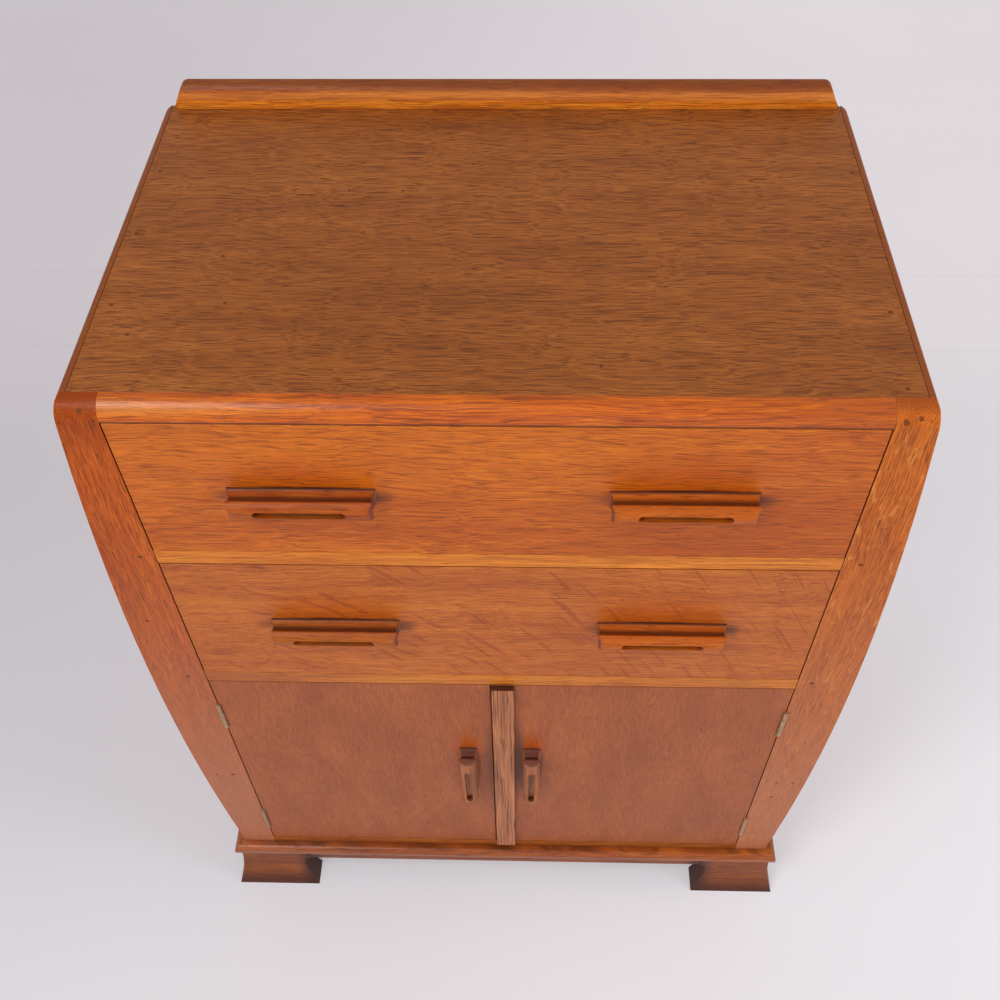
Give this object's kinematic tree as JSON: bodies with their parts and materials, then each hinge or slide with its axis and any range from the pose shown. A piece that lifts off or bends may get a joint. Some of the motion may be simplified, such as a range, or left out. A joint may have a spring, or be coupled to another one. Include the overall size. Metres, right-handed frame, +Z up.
{
  "type": "tallboy",
  "caption": "Oak tallboy: drawers over a cupboard with two doors, bowed sides, a low gallery behind the top, fluted bar pulls and flared bracket feet.",
  "frame": {"origin": "middle of the footprint, on the floor", "axes": "+Z up, +Y towards the back, +X towards the right door as seen from the front"},
  "size_m": [0.7684, 0.4706, 0.9958],
  "materials": {
    "honey_oak": "satin varnish",
    "brown_oak": "satin varnish",
    "red_brown_oak": "satin varnish",
    "door_oak": "satin varnish",
    "pale_oak": "satin varnish",
    "dark_oak": "satin varnish",
    "raw_oak": "bare",
    "plywood": "bare",
    "aged_brass": "tarnished"
  },
  "bodies": {
    "case": {"front_stile_left": "red_brown_oak", "front_stile_right": "red_brown_oak", "back_stile_left": "raw_oak", "back_stile_right": "raw_oak", "side_panel_left": "red_brown_oak", "side_panel_right": "red_brown_oak", "top_panel": "brown_oak", "top_front_rail": "honey_oak", "gallery_rail": "honey_oak", "middle_rail": "honey_oak", "lower_rail": "honey_oak", "bottom_board": "honey_oak", "back_panel": "plywood", "back_rail": "raw_oak", "upper_runner_left": "raw_oak", "upper_runner_right": "raw_oak", "lower_runner_left": "raw_oak", "lower_runner_right": "raw_oak", "dust_board": "plywood", "shelf": "raw_oak", "shelf_bearer_left": "raw_oak", "shelf_bearer_right": "raw_oak", "door_stop": "raw_oak", "plinth_moulding_front": "dark_oak", "plinth_moulding_left": "dark_oak", "plinth_moulding_right": "dark_oak", "apron_front": "dark_oak", "apron_left": "dark_oak", "apron_right": "dark_oak", "front_foot_left": "dark_oak", "front_foot_right": "dark_oak", "back_foot_left": "dark_oak", "back_foot_right": "dark_oak", "left_top_hinge_frame_leaf": "aged_brass", "left_bottom_hinge_frame_leaf": "aged_brass", "right_top_hinge_frame_leaf": "aged_brass", "right_bottom_hinge_frame_leaf": "aged_brass"},
    "upper_drawer": {"upper_drawer_front": "honey_oak", "upper_drawer_side_left": "raw_oak", "upper_drawer_side_right": "raw_oak", "upper_drawer_back": "raw_oak", "upper_drawer_bottom": "plywood", "upper_drawer_pull_left": "honey_oak", "upper_drawer_pull_right": "honey_oak"},
    "lower_drawer": {"lower_drawer_front": "honey_oak", "lower_drawer_side_left": "raw_oak", "lower_drawer_side_right": "raw_oak", "lower_drawer_back": "raw_oak", "lower_drawer_bottom": "plywood", "lower_drawer_pull_left": "honey_oak", "lower_drawer_pull_right": "honey_oak"},
    "left_door": {"left_door": "door_oak", "left_door_pull": "door_oak", "left_top_hinge_door_leaf": "aged_brass", "left_bottom_hinge_door_leaf": "aged_brass"},
    "right_door": {"right_door": "door_oak", "right_door_pull": "door_oak", "cover_bead": "pale_oak", "right_top_hinge_door_leaf": "aged_brass", "right_bottom_hinge_door_leaf": "aged_brass"}
  },
  "joints": [
    {"name": "upper_drawer_slide", "type": "slide", "parent": "case", "child": "upper_drawer", "axis": [0, -1, 0], "range_m": [0, 0.3]},
    {"name": "lower_drawer_slide", "type": "slide", "parent": "case", "child": "lower_drawer", "axis": [0, -1, 0], "range_m": [0, 0.3]},
    {"name": "left_door_hinge", "type": "hinge", "parent": "case", "child": "left_door", "pos_m": [-0.3195, -0.213, 0.329], "axis": [0, 0, -1], "range_deg": [0, 110]},
    {"name": "right_door_hinge", "type": "hinge", "parent": "case", "child": "right_door", "pos_m": [0.3195, -0.213, 0.329], "axis": [0, 0, 1], "range_deg": [0, 110]}
  ]
}
